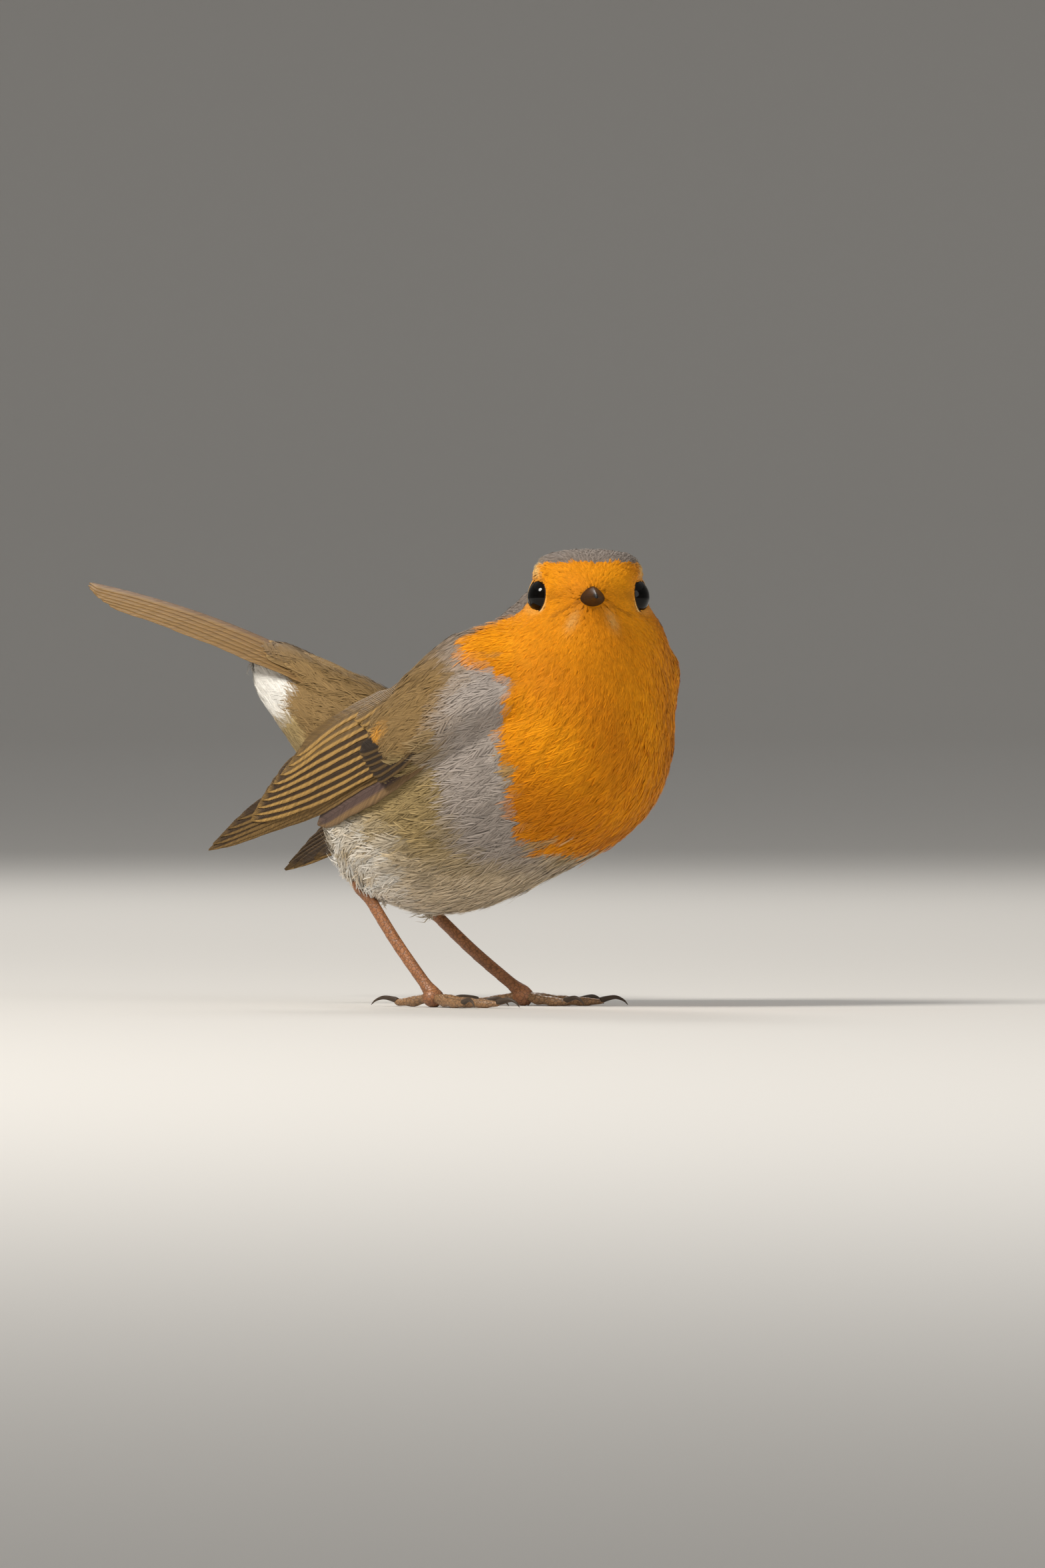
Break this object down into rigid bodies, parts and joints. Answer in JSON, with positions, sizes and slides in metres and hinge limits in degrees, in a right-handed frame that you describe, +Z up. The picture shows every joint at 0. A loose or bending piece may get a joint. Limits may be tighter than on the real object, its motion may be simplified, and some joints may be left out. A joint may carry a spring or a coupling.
{
  "type": "european robin",
  "caption": "Life-size European robin standing on both feet, head turned to its right and tail cocked; a still model.",
  "frame": {"origin": "middle of the model's box, on the floor the feet stand on", "axes": "+X the way the trunk heads, +Y the bird's left, +Z up"},
  "size_m": [0.1162, 0.0518, 0.0807],
  "materials": {
    "orange_plumage": "soft matte body feathers",
    "olive_plumage": "soft matte body feathers",
    "pale_plumage": "loose soft feathers",
    "flight_feathers": "smooth webbed vanes with a faint sheen",
    "horn": "smooth horn, semi-gloss",
    "eye": "wet, mirror-smooth, near black",
    "leg_skin": "scaled skin, satin"
  },
  "bodies": {
    "root": {"eye_right": "eye", "eye_left": "eye", "head": "orange_plumage", "bill_upper": "horn", "bill_lower": "horn", "neck": "orange_plumage", "breast": "orange_plumage", "back": "olive_plumage", "belly": "pale_plumage", "rump": "olive_plumage", "wing_right_primaries": "flight_feathers", "wing_right_secondaries": "flight_feathers", "wing_right_coverts": "flight_feathers", "tail_right": "flight_feathers", "wing_left_primaries": "flight_feathers", "wing_left_secondaries": "flight_feathers", "wing_left_coverts": "flight_feathers", "tail_left": "flight_feathers", "leg_right_thigh": "pale_plumage", "leg_right_tarsus": "leg_skin", "toe_right_middle": "leg_skin", "claw_right_middle": "horn", "toe_right_inner": "leg_skin", "claw_right_inner": "horn", "toe_right_outer": "leg_skin", "claw_right_outer": "horn", "toe_right_hallux": "leg_skin", "claw_right_hallux": "horn", "leg_left_thigh": "pale_plumage", "leg_left_tarsus": "leg_skin", "toe_left_middle": "leg_skin", "claw_left_middle": "horn", "toe_left_inner": "leg_skin", "claw_left_inner": "horn", "toe_left_outer": "leg_skin", "claw_left_outer": "horn", "toe_left_hallux": "leg_skin", "claw_left_hallux": "horn"}
  },
  "joints": []
}
